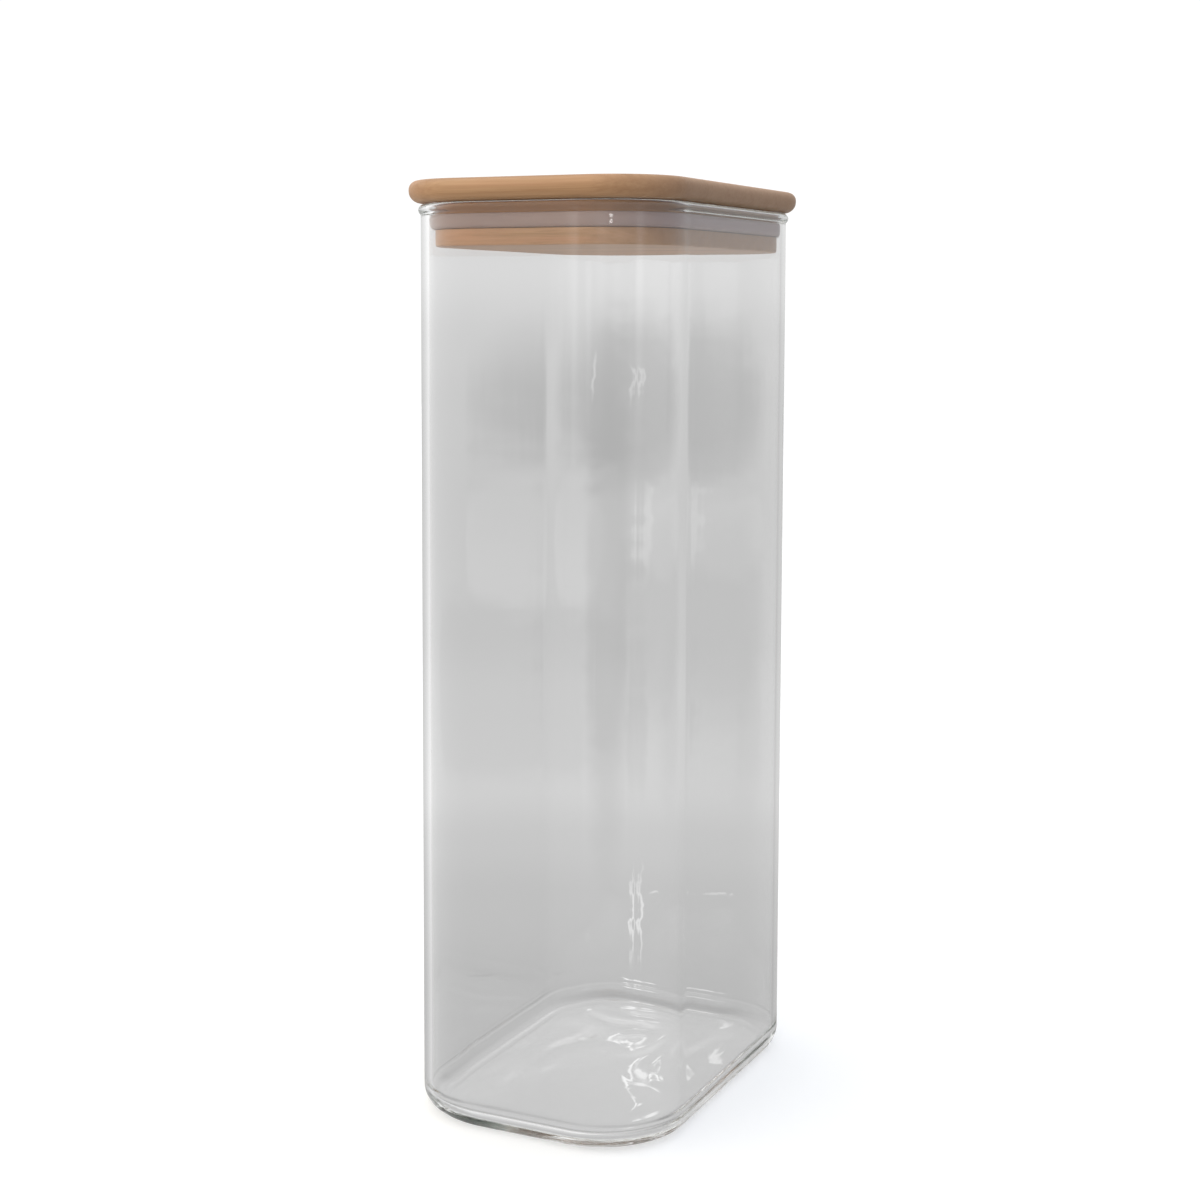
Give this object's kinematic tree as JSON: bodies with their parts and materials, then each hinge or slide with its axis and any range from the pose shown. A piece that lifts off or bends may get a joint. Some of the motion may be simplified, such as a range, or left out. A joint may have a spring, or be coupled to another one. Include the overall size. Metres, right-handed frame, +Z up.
{
  "type": "pantry jar",
  "caption": "Tall rectangular clear glass storage jar with rounded corners and a bamboo stopper lid that carries a silicone seal and lifts straight off.",
  "frame": {"origin": "centre of the foot, on the surface that the jar stands on", "axes": "+Z up, along the jar's height and the lid's lift; X across the narrow side, Y across the deep side; -Y is a narrow face"},
  "size_m": [0.0942, 0.136, 0.3],
  "materials": {
    "glass": "clear blown borosilicate glass, fire-polished rim, smooth with faint ripples",
    "cap_bamboo": "sanded and oiled bamboo, satin, fine streaks along the grain",
    "plug_bamboo": "sanded bamboo, satin, fine streaks along the grain",
    "seal_silicone": "frosted translucent silicone, satin"
  },
  "bodies": {
    "jar": {"glass_jar": "glass"},
    "lid": {"silicone_seal": "seal_silicone", "cap_stave_1": "cap_bamboo", "cap_stave_2": "cap_bamboo", "cap_stave_3": "cap_bamboo", "cap_stave_4": "cap_bamboo", "cap_stave_5": "cap_bamboo", "cap_stave_6": "cap_bamboo", "cap_stave_7": "cap_bamboo", "plug_stave_1": "plug_bamboo", "plug_stave_2": "plug_bamboo", "plug_stave_3": "plug_bamboo", "plug_stave_4": "plug_bamboo", "plug_stave_5": "plug_bamboo", "plug_stave_6": "plug_bamboo"}
  },
  "joints": [
    {"name": "lid_lift", "type": "slide", "parent": "jar", "child": "lid", "axis": [0, 0, 1], "range_m": [0, 0.06]}
  ]
}
